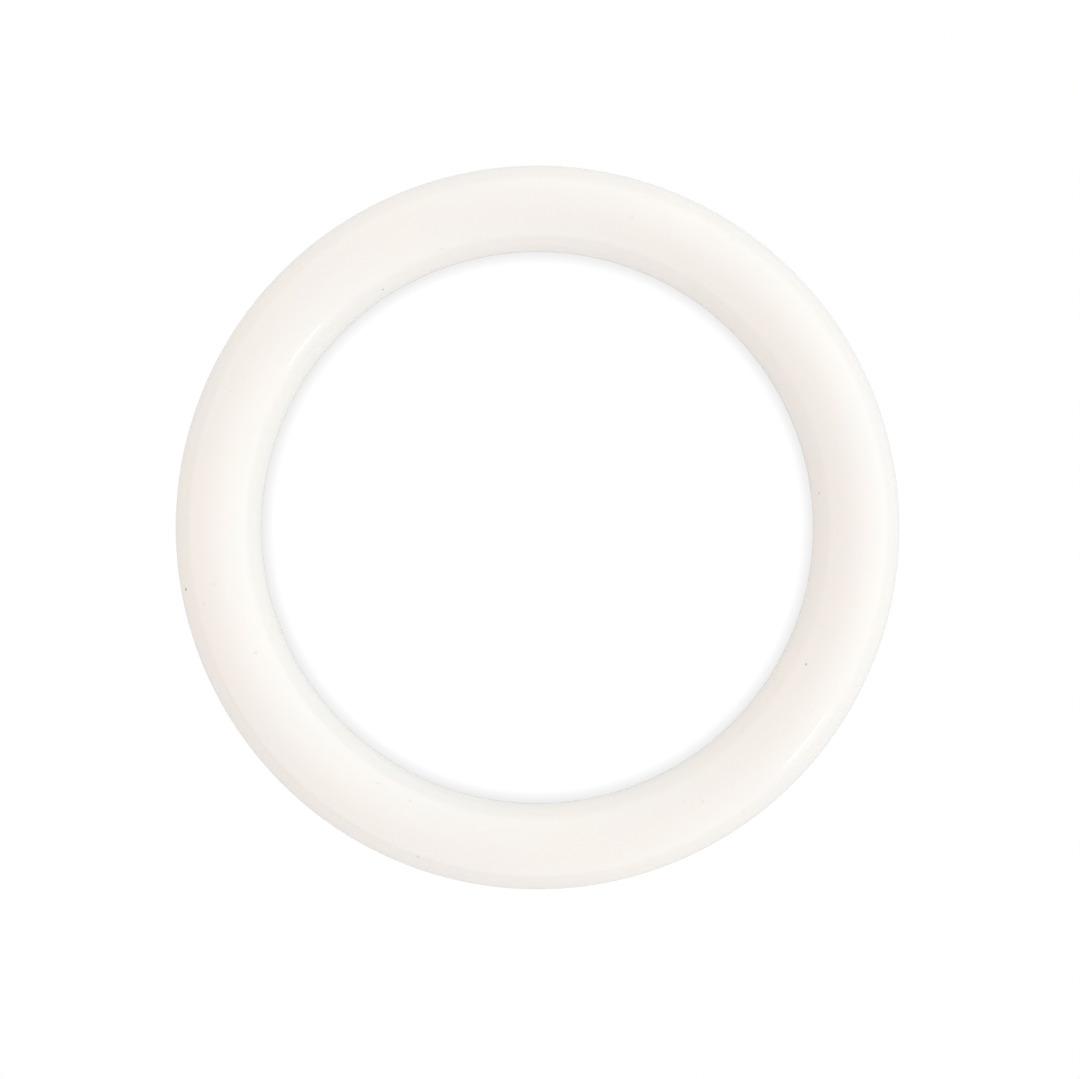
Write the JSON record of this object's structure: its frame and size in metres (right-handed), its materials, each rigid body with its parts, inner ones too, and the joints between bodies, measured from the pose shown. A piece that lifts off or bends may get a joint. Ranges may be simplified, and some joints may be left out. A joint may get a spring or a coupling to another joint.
{
  "type": "gymnastics ring",
  "caption": "Round white plastic gymnastics ring with a round grip section, moulded as two bonded half shells around a steel core.",
  "frame": {"origin": "centre of the ring, on the middle plane where the two half shells meet", "axes": "+Z along the ring's axis, towards the upper shell; X and Y lie in the ring's plane"},
  "size_m": [0.236, 0.236, 0.028],
  "materials": {
    "shell_plastic": "glossy, warm milky white",
    "core_steel": "bright drawn bar, as rolled, with a welded joint"
  },
  "bodies": {
    "root": {"upper_shell": "shell_plastic", "lower_shell": "shell_plastic", "core_ring": "core_steel"}
  },
  "joints": []
}
